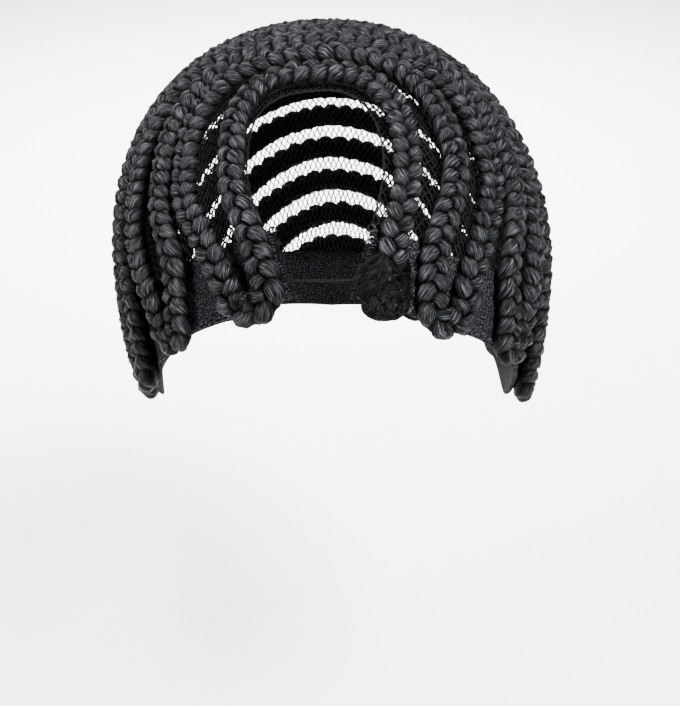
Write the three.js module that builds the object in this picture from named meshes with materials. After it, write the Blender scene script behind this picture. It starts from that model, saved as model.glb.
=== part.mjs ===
// Cornrow wig cap: a net dome with a keyhole opening at the front, a dense hairline band,
// and one long plait laid over both as nested horseshoe rows that turn at the hem.
// Millimetres and degrees. X to the right as seen from the front, Y to the back, Z up,
// with the origin at the inside of the crown.
import * as THREE from "three";

// Inside of the cap, measured from its centre at the widest level.
const DOME = {
  halfWidth: 71.5,
  halfLength: 94.5,
  crown: 76,
  below: 102,
  power: 2.15,
  backFlare: 0.05,
  turn: 7, // the long way of the dome, turned from straight back
};

const WALL = 1.4; // thickness of the net and of the band
const GAP = 0.35; // clearance between neighbouring pieces
const BAND_WIDTH = 23; // band, from the hem to the net
const BRAID = { halfWidth: 5.2, height: 6.8, step: 7.2 };
const TURN = { radius: 6, firstRadius: 6.8, overhang: 4, approach: 20, approachSteps: 10, bendSteps: 4 };
const THREAD = { radius: 0.5, sides: 6, aboveHem: 6.5 };
const COLUMNS = 64; // facets round the cap
const NET_RINGS = 16; // facets from the opening to the band
const BAND_RINGS = 2; // facets across the band

// Height of the hem above the widest level, by the angle from the front.
const HEM = [
  { angle: 0, height: 27 },
  { angle: 10, height: 24 },
  { angle: 20, height: 15.5 },
  { angle: 27, height: 9.5 },
  { angle: 34, height: 2.5 },
  { angle: 42, height: -8 },
  { angle: 52, height: -21 },
  { angle: 62, height: -35 },
  { angle: 70, height: -45 },
  { angle: 82, height: -49 },
  { angle: 110, height: -49 },
  { angle: 150, height: -55 },
  { angle: 180, height: -58 },
];
const STEEPEST = 0.9; // rise over run that no part of the hem passes, seen from the centre

// Front ends of the band: where the hem stops, and how far the cut edges slant back from it.
const TAB = { left: -11.5, right: 6.6, slant: 5, slantSpan: 26 };

// Rows of the plait on a map centred on the opening, in degrees seen from the dome's centre:
// reach to the left, over the top and to the right, and how far the front legs draw in.
const ROWS = [
  { name: "a", left: 19, top: 25, right: 17.5, leftPinch: 8.7, rightPinch: 5.9 },
  { name: "b", left: 32, top: 36, right: 28.3, leftPinch: 12.3, rightPinch: 9.6 },
  { name: "c", left: 41, top: 46, right: 38.2, leftPinch: 9, rightPinch: 9 },
  { name: "d", left: 56, top: 56, right: 47, leftPinch: 7, rightPinch: 7 },
  { name: "e", left: 68, top: 66, right: 58, leftPinch: 5, rightPinch: 5 },
  { name: "f", left: 80, top: 75.5, right: 72, leftPinch: 0, rightPinch: 0 },
  { name: "g", left: 92, top: 85, right: 86, leftPinch: 0, rightPinch: 0 },
  { name: "h", left: 104.5, top: 94, right: 99, leftPinch: 0, rightPinch: 0 },
  { name: "i", left: 115.5, top: 103, right: 112, leftPinch: 0, rightPinch: 0 },
  { name: "j", left: 125, top: 112, right: 123, leftPinch: 0, rightPinch: 0 },
  { name: "k", left: 133.5, top: 120.5, right: 132.5, leftPinch: 0, rightPinch: 0 },
  { name: "l", left: 141, top: 129, right: 140.5, leftPinch: 0, rightPinch: 0 },
  { name: "m", left: 147.5, top: 137.5, right: 147, leftPinch: 0, rightPinch: 0 },
  { name: "n", left: 154, top: 146, right: 154.5, leftPinch: 0, rightPinch: 0 },
  { name: "o", left: 160, top: 154, right: 160.5, leftPinch: 0, rightPinch: 0 },
];
// Edge of the opening, on the same map.
const RIM = { left: 17, top: 22.3, right: 13.4, leftPinch: 9, rightPinch: 7.2 };
const RIM_END = 2.5; // the net's edge stops this far above the band
const PINCH_SPAN = 32; // stretch of the legs over which they draw in
const SHOULDER = { first: 0.8, fade: 0.6 }; // squareness of the first row, less with each later one
const LEAN = { slope: 0.1, start: 15, rows: 8 }; // drift of the arches to the left, fading over some rows
const ARCH_POINTS = 60;
const LEG_REACH = 110; // degrees that the legs are followed before the hem cuts them

// The sewn-down tail at the right front, by the distance from its top.
const TAIL = [
  { along: 0, halfWidth: 5, height: 6 },
  { along: 4, halfWidth: 6.8, height: 5.8 },
  { along: 9, halfWidth: 7.6, height: 5.2 },
  { along: 13, halfWidth: 7.9, height: 4.8 },
  { along: 17, halfWidth: 7.4, height: 4.2 },
  { along: 20.2, halfWidth: 5.4, height: 3.2 },
];
const TAIL_TOP = -21.5; // where the first row gives way to the tail, on the map

const radians = THREE.MathUtils.degToRad;
const degrees = THREE.MathUtils.radToDeg;
const vector = (x, y, z) => new THREE.Vector3(x, y, z);
const UP = vector(0, 0, 1);

// Points and normals of the dome

const toDome = (point) => point.clone().applyAxisAngle(UP, -radians(DOME.turn));

function domeSizes(local) {
  const halfWidth = DOME.halfWidth * (1 + (DOME.backFlare * local.y) / local.length());
  return vector(halfWidth, DOME.halfLength, local.z > 0 ? DOME.crown : DOME.below);
}

function domeNormal(point) {
  const local = toDome(point);
  const half = domeSizes(local);
  const slope = (value, size) => (Math.sign(value) * Math.abs(value / size) ** (DOME.power - 1)) / size;
  const normal = vector(slope(local.x, half.x), slope(local.y, half.y), slope(local.z, half.z));
  return normal.normalize().applyAxisAngle(UP, radians(DOME.turn));
}

function domePoint(direction, lift = 0) {
  const local = toDome(direction);
  const half = domeSizes(local);
  const sum =
    Math.abs(local.x / half.x) ** DOME.power +
    Math.abs(local.y / half.y) ** DOME.power +
    Math.abs(local.z / half.z) ** DOME.power;
  const point = direction.clone().multiplyScalar(sum ** (-1 / DOME.power));
  return point.addScaledVector(domeNormal(point), lift);
}

// Map of the dome, centred on the opening

const POLE = vector(-3, -58, 62).normalize();
const BACK = vector(0, 1, 0).projectOnPlane(POLE).normalize();
const SIDE = BACK.clone().cross(POLE);

function fromMap(side, back) {
  const reach = Math.hypot(side, back);
  const heading = SIDE.clone().multiplyScalar(side / reach).addScaledVector(BACK, back / reach);
  const direction = POLE.clone().multiplyScalar(Math.cos(radians(reach)));
  return domePoint(direction.addScaledVector(heading, Math.sin(radians(reach))));
}

// Curves as lists of points on the dome

function lengths(points) {
  const along = [0];
  for (let i = 1; i < points.length; i++) along.push(along[i - 1] + points[i].distanceTo(points[i - 1]));
  return along;
}

function pointAt(points, along, distance) {
  let i = 1;
  while (i < points.length - 1 && along[i] < distance) i++;
  const share = (distance - along[i - 1]) / (along[i] - along[i - 1]);
  return domePoint(points[i - 1].clone().lerp(points[i], share));
}

function evenly(points, count) {
  const along = lengths(points);
  const total = along.at(-1);
  return Array.from({ length: count + 1 }, (_, i) => pointAt(points, along, (total * i) / count));
}

function hermite(start, startSlope, end, endSlope, count) {
  return Array.from({ length: count + 1 }, (_, i) => {
    const t = i / count;
    const point = start.clone().multiplyScalar(2 * t ** 3 - 3 * t ** 2 + 1);
    point.addScaledVector(startSlope, t ** 3 - 2 * t ** 2 + t);
    point.addScaledVector(end, 3 * t ** 2 - 2 * t ** 3);
    point.addScaledVector(endSlope, t ** 3 - t ** 2);
    return domePoint(point);
  });
}

// Hem

// Smooth height of the hem between the rows of its table.
function hemHeight(angle) {
  const turn = Math.abs(angle);
  let i = 1;
  while (i < HEM.length - 1 && HEM[i].angle < turn) i++;
  const slope = (j) => {
    const before = HEM[Math.max(j - 1, 0)];
    const after = HEM[Math.min(j + 1, HEM.length - 1)];
    return (after.height - before.height) / (after.angle - before.angle);
  };
  const span = HEM[i].angle - HEM[i - 1].angle;
  const t = (turn - HEM[i - 1].angle) / span;
  return (
    HEM[i - 1].height * (2 * t ** 3 - 3 * t ** 2 + 1) +
    slope(i - 1) * span * (t ** 3 - 2 * t ** 2 + t) +
    HEM[i].height * (3 * t ** 2 - 2 * t ** 3) +
    slope(i) * span * (t ** 3 - t ** 2)
  );
}

// The point of the hem at an angle from the front, found by halving the span of slopes it can have.
function hemPoint(angle) {
  const height = hemHeight(angle);
  const onDome = (rise) => domePoint(vector(Math.sin(radians(angle)), -Math.cos(radians(angle)), rise));
  let low = -STEEPEST;
  let high = STEEPEST;
  for (let i = 0; i < 40; i++) {
    const middle = (low + high) / 2;
    if (onDome(middle).z < height) low = middle;
    else high = middle;
  }
  return onDome(low);
}

// From the middle of the back by the left, the front and the right to the back again.
const hemLine = Array.from({ length: 360 }, (_, i) => hemPoint(i - 180));

function aboveHem(point) {
  const angle = degrees(Math.atan2(point.x, -point.y));
  const nearest = Math.min(...hemLine.map((hem) => hem.distanceTo(point)));
  return point.z < hemHeight(angle) ? -nearest : nearest;
}

function cutAbove(points, distance) {
  const end = points.findIndex((point) => aboveHem(point) < distance);
  return points.slice(0, end);
}

// Horseshoes on the map

function halfHorseshoe(reach, top, pinch, power, lean, sign) {
  const points = [];
  for (let i = 0; i <= ARCH_POINTS; i++) {
    const turn = radians((90 * i) / ARCH_POINTS);
    const back = top * Math.max(Math.cos(turn), 0) ** (2 / power);
    const side = sign * reach * Math.sin(turn) ** (2 / power);
    points.push(fromMap(side - (lean * back ** 2) / (back + LEAN.start), back));
  }
  for (let back = 1; back <= LEG_REACH; back++) {
    const share = Math.min(back / PINCH_SPAN, 1);
    const drawn = (pinch * (1 - Math.cos(Math.PI * share))) / 2;
    points.push(fromMap(sign * (reach - drawn), -back));
  }
  return points;
}

function horseshoe(row, index) {
  const power = 2 + SHOULDER.first / (1 + SHOULDER.fade * index);
  const lean = LEAN.slope * Math.max(0, 1 - index / LEAN.rows);
  return {
    left: halfHorseshoe(row.left, row.top, row.leftPinch, power, lean, -1),
    right: halfHorseshoe(row.right, row.top, row.rightPinch, power, lean, 1),
  };
}

// Closed solids

function solid(name, corners, faces, material) {
  const geometry = new THREE.BufferGeometry();
  const flat = corners.flatMap((corner) => [corner.x, corner.y, corner.z - DOME.crown]);
  geometry.setAttribute("position", new THREE.Float32BufferAttribute(flat, 3));
  geometry.setIndex(faces.flat());
  const mesh = new THREE.Mesh(geometry.toNonIndexed(), material.clone());
  mesh.geometry.computeVertexNormals();
  mesh.name = name;
  return mesh;
}

// A strip of section rings, closed at both ends.
function tube(name, rings, material) {
  const sides = rings[0].length;
  const faces = [];
  for (let i = 0; i + 1 < rings.length; i++) {
    for (let j = 0; j < sides; j++) {
      const a = i * sides + j;
      const b = i * sides + ((j + 1) % sides);
      faces.push([a, b, b + sides], [a, b + sides, a + sides]);
    }
  }
  const last = (rings.length - 1) * sides;
  for (let j = 1; j + 1 < sides; j++) {
    faces.push([0, j + 1, j], [last, last + j, last + j + 1]);
  }
  return solid(name, rings.flat(), faces, material);
}

// A wall over a grid of dome points, thickened outwards.
function wall(name, columns, material) {
  const across = columns[0].length;
  const count = columns.length * across;
  const corners = [
    ...columns.flat().map((point) => domePoint(point)),
    ...columns.flat().map((point) => domePoint(point, WALL)),
  ];
  const faces = [];
  const quad = (a, b, c, d) => faces.push([a, b, c], [a, c, d]);
  for (let i = 0; i + 1 < columns.length; i++) {
    for (let j = 0; j + 1 < across; j++) {
      const a = i * across + j;
      quad(a, a + 1, a + across + 1, a + across);
      quad(count + a, count + a + across, count + a + across + 1, count + a + 1);
    }
  }
  const border = [];
  for (let j = 0; j + 1 < across; j++) border.push(j);
  for (let i = 0; i + 1 < columns.length; i++) border.push(i * across + across - 1);
  for (let j = across - 1; j > 0; j--) border.push((columns.length - 1) * across + j);
  for (let i = columns.length - 1; i > 0; i--) border.push(i * across);
  border.forEach((a, i) => {
    const b = border[(i + 1) % border.length];
    quad(b, a, count + a, count + b);
  });
  return solid(name, corners, faces, material);
}

// Sections of what lies on the wall: flat below, rounded above, as shares of half width and height.
const PLAIT_OUTLINE = [
  { side: -1, up: 0 },
  { side: 1, up: 0 },
  { side: 0.86, up: 0.62 },
  { side: 0, up: 1 },
  { side: -0.86, up: 0.62 },
];
const TAIL_OUTLINE = [
  { side: -1, up: 0 },
  { side: 0, up: 0 },
  { side: 1, up: 0 },
  { side: 0.92, up: 0.6 },
  { side: 0.45, up: 0.95 },
  { side: -0.45, up: 0.95 },
  { side: -0.92, up: 0.6 },
];

// Direction of a line at one of its points, followed round the bend at its ends.
function directionAt(points, i) {
  const last = points.length - 1;
  if (i > 0 && i < last) return points[i + 1].clone().sub(points[i - 1]).normalize();
  const inward = i === 0 ? 1 : -1;
  const slope = points[i].clone().multiplyScalar(-3);
  slope.addScaledVector(points[i + inward], 4).sub(points[i + 2 * inward]);
  return slope.multiplyScalar(inward).normalize();
}

function section(points, i, outline, halfWidth, height) {
  const across = domeNormal(points[i]).cross(directionAt(points, i)).normalize();
  return outline.map(({ side, up }) => {
    const foot = points[i].clone().addScaledVector(across, side * halfWidth);
    return domePoint(foot, WALL + GAP + up * height);
  });
}

// Materials

const hair = new THREE.MeshStandardMaterial({ color: 0x1d1e21, roughness: 0.55 });
const net = new THREE.MeshStandardMaterial({ color: 0x131315, roughness: 0.8 });
const knit = new THREE.MeshStandardMaterial({ color: 0x161618, roughness: 0.85 });
const cotton = new THREE.MeshStandardMaterial({ color: 0x0c0c0d, roughness: 0.9 });

// Band: columns from the net down to the hem, the first and last along the front ends

const bandHem = (() => {
  const start = hemLine.findIndex((point) => point.x > TAB.left && point.y < 0);
  const end = hemLine.findIndex((point) => point.x > TAB.right && point.y < 0);
  const behind = [...hemLine.slice(end), ...hemLine.slice(0, start)];
  return evenly(behind.reverse(), COLUMNS);
})();

function bandPoint(column, height) {
  const before = bandHem[Math.max(column - 1, 0)];
  const after = bandHem[Math.min(column + 1, COLUMNS)];
  const normal = domeNormal(bandHem[column]);
  const up = normal.clone().cross(after.clone().sub(before)).normalize();
  if (up.z < 0) up.negate();
  const spacing = bandHem[1].distanceTo(bandHem[0]);
  const fromTab = Math.min(column, COLUMNS - column) * spacing;
  const slant = TAB.slant * Math.max(0, 1 - fromTab / TAB.slantSpan);
  up.applyAxisAngle(normal, radians(column < COLUMNS / 2 ? slant : -slant));
  return domePoint(bandHem[column].clone().addScaledVector(up, height));
}

const bandHeights = Array.from({ length: BAND_RINGS + 1 }, (_, j) => BAND_WIDTH * (1 - j / BAND_RINGS));
const bandColumns = bandHem.map((_, i) => bandHeights.map((height) => bandPoint(i, height)));
const band = wall("hairline_band", bandColumns, knit);

// Net: from the rim of the opening out to the band

const rimShape = horseshoe(RIM, 0);
const rimLeft = cutAbove(rimShape.left, BAND_WIDTH + RIM_END);
const rimRight = cutAbove(rimShape.right, BAND_WIDTH + RIM_END);
const rim = evenly([...rimLeft.reverse(), ...rimRight.slice(1)], COLUMNS);

function netColumn(inner, i) {
  const outer = bandPoint(i, BAND_WIDTH + GAP).normalize();
  const angle = inner.angleTo(outer);
  return Array.from({ length: NET_RINGS + 1 }, (_, j) => {
    const share = j / NET_RINGS;
    const near = inner.clone().normalize().multiplyScalar(Math.sin((1 - share) * angle));
    return domePoint(near.addScaledVector(outer, Math.sin(share * angle)));
  });
}

const netCap = wall("net_cap", rim.map(netColumn), net);

// Rows of the plait, joined in pairs by hairpin turns at the hem

const END_ABOVE_HEM = TURN.radius + BRAID.halfWidth - TURN.overhang;
const legs = ROWS.map(horseshoe);
const cutLegs = legs.map(({ left, right }) => ({
  left: cutAbove(left, END_ABOVE_HEM),
  right: cutAbove(right, END_ABOVE_HEM),
}));

const heading = (points) => points.at(-1).clone().sub(points.at(-3)).normalize();

// The half of a hairpin turn that belongs to one of two neighbouring legs.
function turned(leg, partner, radius) {
  const middle = domePoint(leg.at(-1).clone().lerp(partner.at(-1), 0.5));
  const normal = domeNormal(middle);
  const down = heading(leg).add(heading(partner)).projectOnPlane(normal).normalize();
  const out = leg.at(-1).clone().sub(middle).projectOnPlane(normal).projectOnPlane(down).normalize();
  const along = lengths(leg);
  const kept = leg.filter((_, i) => along[i] < along.at(-1) - TURN.approach);
  const centre = middle.clone().addScaledVector(out, GAP / 2);
  const entry = domePoint(centre.clone().addScaledVector(out, radius));
  const reach = kept.at(-1).distanceTo(entry);
  const approach = hermite(
    kept.at(-1),
    heading(kept).multiplyScalar(reach),
    entry,
    down.clone().multiplyScalar(reach),
    TURN.approachSteps,
  );
  const bend = Array.from({ length: TURN.bendSteps }, (_, i) => {
    const angle = (Math.PI / 2 / TURN.bendSteps) * (i + 1);
    const point = centre.clone().addScaledVector(out, radius * Math.cos(angle));
    return domePoint(point.addScaledVector(down, radius * Math.sin(angle)));
  });
  return { leg: [...kept, ...approach.slice(1)], bend };
}

function cutAtTail(leg) {
  const stop = leg.findIndex((point) => degrees(point.clone().normalize().dot(BACK)) < TAIL_TOP);
  return leg.slice(0, stop);
}

function partnerOf(index, side) {
  const firstOfPair = side === "left" ? 0 : 1;
  return (index - firstOfPair) % 2 === 0 ? index + 1 : index - 1;
}

// One leg of a row with its half turn; the first row ends at the tail and the last one plainly.
function rowHalf(index, side) {
  const leg = cutLegs[index][side];
  const partner = cutLegs[partnerOf(index, side)]?.[side];
  const first = side === "left" && index < 2;
  if (partner) return turned(leg, partner, first ? TURN.firstRadius : TURN.radius);
  return { leg: index === 0 ? cutAtTail(leg) : leg, bend: [] };
}

function rowLine(index) {
  const left = rowHalf(index, "left");
  const right = rowHalf(index, "right");
  const both = [...left.leg.slice(1).reverse(), ...right.leg];
  const spaced = evenly(both, Math.round(lengths(both).at(-1) / BRAID.step));
  return [...left.bend.reverse(), ...spaced, ...right.bend];
}

const braidRows = ROWS.map((row, index) => {
  const line = rowLine(index);
  const rings = line.map((_, i) => section(line, i, PLAIT_OUTLINE, BRAID.halfWidth, BRAID.height));
  return tube("braid_row_" + row.name, rings, hair);
});

// Tail of the plait, flattened and sewn down at the right front

const tail = (() => {
  const leg = legs[0].right;
  const line = leg.slice(cutAtTail(leg).length);
  const along = lengths(line);
  const stations = TAIL.map((station) => pointAt(line, along, GAP + station.along));
  const rings = TAIL.map(({ halfWidth, height }, i) => section(stations, i, TAIL_OUTLINE, halfWidth, height));
  return tube("braid_end_pad", rings, hair);
})();

// Thread tied across the front of the opening, from one end of the band to the other

const thread = (() => {
  const start = domePoint(bandPoint(0, THREAD.aboveHem), WALL / 2);
  const end = domePoint(bandPoint(COLUMNS, THREAD.aboveHem), WALL / 2);
  const along = end.clone().sub(start).normalize();
  start.addScaledVector(along, GAP);
  end.addScaledVector(along, -GAP);
  const up = UP.clone().projectOnPlane(along).normalize();
  const out = up.clone().cross(along);
  const ring = (centre) =>
    Array.from({ length: THREAD.sides }, (_, j) => {
      const turn = (2 * Math.PI * j) / THREAD.sides;
      const point = centre.clone().addScaledVector(up, THREAD.radius * Math.sin(turn));
      return point.addScaledVector(out, THREAD.radius * Math.cos(turn));
    });
  return tube("tie_thread", [ring(start), ring(end)], cotton);
})();

const cap = new THREE.Group();
cap.add(netCap, band, ...braidRows, tail, thread);

export default cap;
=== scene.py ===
"""Looks of the cornrow wig cap: plaited rows, fishnet, knitted hairline band and tie thread.

Sizes are in millimetres and degrees unless a name or a comment says otherwise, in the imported
model's axes: X to the right as seen from the front, Y to the back, Z up. The dome's centre is
the working origin, and make_mesh moves it under the crown and turns millimetres into metres.
The turns, lags and shifts of small waves are in radians; shares, swells and shades are ratios.
"""

import itertools
import math
from collections import namedtuple

import bpy
import numpy as np
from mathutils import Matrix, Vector


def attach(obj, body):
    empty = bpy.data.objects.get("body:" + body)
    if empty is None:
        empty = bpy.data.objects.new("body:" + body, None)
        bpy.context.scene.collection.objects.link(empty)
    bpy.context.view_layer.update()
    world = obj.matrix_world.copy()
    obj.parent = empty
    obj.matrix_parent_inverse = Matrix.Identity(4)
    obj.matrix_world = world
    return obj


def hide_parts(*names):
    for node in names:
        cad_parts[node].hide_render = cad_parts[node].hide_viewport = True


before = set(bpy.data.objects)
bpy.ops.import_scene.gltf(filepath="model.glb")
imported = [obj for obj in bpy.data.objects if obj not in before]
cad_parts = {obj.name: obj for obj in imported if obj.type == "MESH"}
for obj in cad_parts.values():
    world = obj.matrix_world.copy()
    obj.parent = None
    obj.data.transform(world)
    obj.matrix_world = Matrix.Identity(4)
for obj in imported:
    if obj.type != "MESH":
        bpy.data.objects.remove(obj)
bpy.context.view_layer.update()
scene = bpy.context.scene
rng = np.random.default_rng(7)

MM = 0.001
TINY = 1e-9

# Driving sizes, the same as the solids have

HALF_WIDTH = 71.5
HALF_LENGTH = 94.5
CROWN = 76.0
BELOW = 102.0
POWER = 2.15
BACK_FLARE = 0.05
DOME_TURN = math.radians(7)
WALL = 1.4
GAP = 0.35
BAND_WIDTH = 23.0
BRAID_HALF_WIDTH = 5.2
TURN_RADIUS = 6.0
FIRST_TURN_RADIUS = 6.8
TURN_OVERHANG = 4.0
TURN_APPROACH = 20.0
THREAD_ABOVE_HEM = 6.5

# Height of the hem above the widest level, by the angle from the front.
HEM_ANGLE = np.array([0, 10, 20, 27, 34, 42, 52, 62, 70, 82, 110, 150, 180], float)
HEM_HEIGHT = np.array([27, 24, 15.5, 9.5, 2.5, -8, -21, -35, -45, -49, -49, -55, -58], float)
STEEPEST = 0.9
HALVINGS = 40
TAB_LEFT = -11.5
TAB_RIGHT = 6.6
TAB_SLANT = 5.0
TAB_SLANT_SPAN = 26.0

# Rows on the map centred on the opening, in degrees: reach to the left, over the top and to
# the right, and how far the left and the right leg draw in.
Row = namedtuple("Row", "name left top right left_pinch right_pinch", defaults=(0, 0))
ROWS = [
    Row("a", 19, 25, 17.5, 8.7, 5.9),
    Row("b", 32, 36, 28.3, 12.3, 9.6),
    Row("c", 41, 46, 38.2, 9, 9),
    Row("d", 56, 56, 47, 7, 7),
    Row("e", 68, 66, 58, 5, 5),
    Row("f", 80, 75.5, 72),
    Row("g", 92, 85, 86),
    Row("h", 104.5, 94, 99),
    Row("i", 115.5, 103, 112),
    Row("j", 125, 112, 123),
    Row("k", 133.5, 120.5, 132.5),
    Row("l", 141, 129, 140.5),
    Row("m", 147.5, 137.5, 147),
    Row("n", 154, 146, 154.5),
    Row("o", 160, 154, 160.5),
]
RIM = Row("rim", 17, 22.3, 13.4, 9, 7.2)
RIM_END = 2.5
PINCH_SPAN = 32.0
SHOULDER = 0.8
SHOULDER_FADE = 0.6
LEAN = 0.1
LEAN_START = 15.0
LEAN_ROWS = 8
ARCH_POINTS = 240
LEG_REACH = 110.0
LEG_STEP = 0.25
HEADING_POINTS = 8
APPROACH_POINTS = 40
BEND_POINTS = 24

# The sewn-down tail, by the distance from its top, and how far the first row runs on under it.
TAIL_ALONG = np.array([0, 4, 9, 13, 17, 20.2])
TAIL_HALF_WIDTH = np.array([5, 6.8, 7.6, 7.9, 7.4, 5.4])
TAIL_HEIGHT = np.array([6, 5.8, 5.2, 4.8, 4.2, 3.2])
TAIL_TOP = -21.5
TAIL_OVERLAP = 2.0

# The photograph's frame and its camera
IMAGE_WIDTH, IMAGE_HEIGHT = 680, 706
FOCAL_PX = 1610.0
DOME_CENTRE_PX = (330.4, 258.0)
SENSOR_WIDTH = 36.0
CAMERA_DISTANCE = 600.0
CAMERA_ELEVATION = math.radians(24)


# Points and normals of the dome

def unit(vectors):
    return vectors / np.linalg.norm(vectors, axis=-1, keepdims=True)


def flattened(vectors, normals):
    """Vectors without their part along the normals, as unit vectors."""
    return unit(vectors - normals * (vectors * normals).sum(axis=-1, keepdims=True))


def about_z(points, angle):
    c, s = math.cos(angle), math.sin(angle)
    x, y, z = points[..., 0], points[..., 1], points[..., 2]
    return np.stack([c * x - s * y, s * x + c * y, z], axis=-1)


def dome_sizes(local):
    flare = 1 + BACK_FLARE * local[..., 1] / np.linalg.norm(local, axis=-1)
    height = np.where(local[..., 2] > 0, CROWN, BELOW)
    return np.stack([HALF_WIDTH * flare, np.full_like(flare, HALF_LENGTH), height], axis=-1)


def dome_normal(points):
    local = about_z(points, -DOME_TURN)
    half = dome_sizes(local)
    slope = np.sign(local) * np.abs(local / half) ** (POWER - 1) / half
    return about_z(unit(slope), DOME_TURN)


def dome_point(directions, lift=0.0):
    local = about_z(directions, -DOME_TURN)
    total = (np.abs(local / dome_sizes(local)) ** POWER).sum(axis=-1, keepdims=True)
    points = directions * total ** (-1 / POWER)
    return points + dome_normal(points) * np.asarray(lift)[..., None]


# Map of the dome, centred on the opening

POLE = unit(np.array([-3.0, -58.0, 62.0]))
BACK = unit(np.array([0.0, 1.0, 0.0]) - POLE * POLE[1])
SIDE = np.cross(BACK, POLE)


def from_map(side, back):
    reach = np.hypot(side, back)[..., None]
    heading = (SIDE * side[..., None] + BACK * back[..., None]) / reach
    angle = np.radians(reach)
    return dome_point(POLE * np.cos(angle) + heading * np.sin(angle))


def to_map(points):
    directions = unit(points)
    reach = np.degrees(np.arccos(np.clip(directions @ POLE, -1, 1)))
    side, back = directions @ SIDE, directions @ BACK
    across = np.hypot(side, back)
    return np.stack([reach * side / across, reach * back / across], axis=-1)


# Curves as arrays of points on the dome

def lengths(points):
    return np.concatenate([[0.0], np.cumsum(np.linalg.norm(np.diff(points, axis=0), axis=1))])


def points_at(points, distances):
    along = lengths(points)
    return dome_point(np.stack([np.interp(distances, along, points[:, k]) for k in range(3)], axis=1))


def evenly(points, count):
    return points_at(points, np.linspace(0, lengths(points)[-1], count + 1))


def blend_weights(t):
    """Weights of a smooth curve's start, slope at the start, end and slope at the end."""
    return 2 * t**3 - 3 * t**2 + 1, t**3 - 2 * t**2 + t, 3 * t**2 - 2 * t**3, t**3 - t**2


def hermite(start, start_slope, end, end_slope, count):
    first, leaving, last, arriving = blend_weights(np.linspace(0, 1, count + 1)[:, None])
    return dome_point(start * first + start_slope * leaving + end * last + end_slope * arriving)


# Hem

def hem_height(angles):
    slope = np.gradient(HEM_HEIGHT, HEM_ANGLE)
    slope[1:-1] = (HEM_HEIGHT[2:] - HEM_HEIGHT[:-2]) / (HEM_ANGLE[2:] - HEM_ANGLE[:-2])
    turn = np.abs(angles)
    i = np.clip(np.searchsorted(HEM_ANGLE, turn), 1, len(HEM_ANGLE) - 1)
    span = HEM_ANGLE[i] - HEM_ANGLE[i - 1]
    first, leaving, last, arriving = blend_weights((turn - HEM_ANGLE[i - 1]) / span)
    start = HEM_HEIGHT[i - 1] * first + slope[i - 1] * span * leaving
    return start + HEM_HEIGHT[i] * last + slope[i] * span * arriving


def hem_points(angles):
    """Points of the hem at angles from the front, found by halving the span of slopes."""
    heights = hem_height(angles)
    turn = np.radians(angles)

    def on_dome(slope):
        return dome_point(np.stack([np.sin(turn), -np.cos(turn), slope], axis=1))

    low = np.full_like(turn, -STEEPEST)
    high = np.full_like(turn, STEEPEST)
    for _ in range(HALVINGS):
        middle = (low + high) / 2
        below = on_dome(middle)[:, 2] < heights
        low = np.where(below, middle, low)
        high = np.where(below, high, middle)
    return on_dome(low)


hem_line = hem_points(np.arange(-180.0, 180.0))


def above_hem(points):
    angles = np.degrees(np.arctan2(points[:, 0], -points[:, 1]))
    nearest = np.linalg.norm(points[:, None] - hem_line[None], axis=2).min(axis=1)
    return np.where(points[:, 2] < hem_height(angles), -nearest, nearest)


def cut_above(points, distance):
    return points[: np.argmax(above_hem(points) < distance)]


# Rows of the plait

def half_horseshoe(reach, top, pinch, power, lean, sign):
    turn = np.radians(np.linspace(0, 90, ARCH_POINTS + 1))
    back = top * np.cos(turn) ** (2 / power)
    side = sign * reach * np.sin(turn) ** (2 / power) - lean * back**2 / (back + LEAN_START)
    down = np.arange(LEG_STEP, LEG_REACH, LEG_STEP)
    drawn = pinch * (1 - np.cos(np.pi * np.minimum(down / PINCH_SPAN, 1))) / 2
    return from_map(np.concatenate([side, sign * (reach - drawn)]), np.concatenate([back, -down]))


def horseshoe(row, index):
    power = 2 + SHOULDER / (1 + SHOULDER_FADE * index)
    lean = LEAN * max(0, 1 - index / LEAN_ROWS)
    return {
        "left": half_horseshoe(row.left, row.top, row.left_pinch, power, lean, -1),
        "right": half_horseshoe(row.right, row.top, row.right_pinch, power, lean, 1),
    }


legs = [horseshoe(row, index) for index, row in enumerate(ROWS)]
END_ABOVE_HEM = TURN_RADIUS + BRAID_HALF_WIDTH - TURN_OVERHANG
cut_legs = [{side: cut_above(leg, END_ABOVE_HEM) for side, leg in pair.items()} for pair in legs]


def end_heading(line):
    return unit(line[-1] - line[-1 - HEADING_POINTS])


def turned(leg, partner, radius):
    """A leg with its half of the hairpin turn that joins it to its neighbour."""
    middle = dome_point((leg[-1] + partner[-1]) / 2)
    normal = dome_normal(middle)
    down = flattened(end_heading(leg) + end_heading(partner), normal)
    out = flattened(flattened(leg[-1] - middle, normal), down)
    along = lengths(leg)
    kept = leg[along < along[-1] - TURN_APPROACH]
    entry = dome_point(middle + out * radius)
    reach = np.linalg.norm(entry - kept[-1])
    approach = hermite(kept[-1], end_heading(kept) * reach, entry, down * reach, APPROACH_POINTS)
    angle = np.radians(np.linspace(0, 90, BEND_POINTS + 1))[1:, None]
    bend = dome_point(middle + radius * (out * np.cos(angle) + down * np.sin(angle)))
    return np.concatenate([kept, approach[1:], bend])


def cut_at_tail(leg, run_on=0.0):
    return leg[: np.argmax(np.degrees(unit(leg) @ BACK) < TAIL_TOP - run_on)]


def row_half(index, side):
    first_of_pair = 0 if side == "left" else 1
    partner = index + 1 if (index - first_of_pair) % 2 == 0 else index - 1
    leg = cut_legs[index][side]
    if 0 <= partner < len(ROWS):
        first = side == "left" and index < 2
        return turned(leg, cut_legs[partner][side], FIRST_TURN_RADIUS if first else TURN_RADIUS)
    return cut_at_tail(leg, TAIL_OVERLAP) if index == 0 else leg


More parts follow.
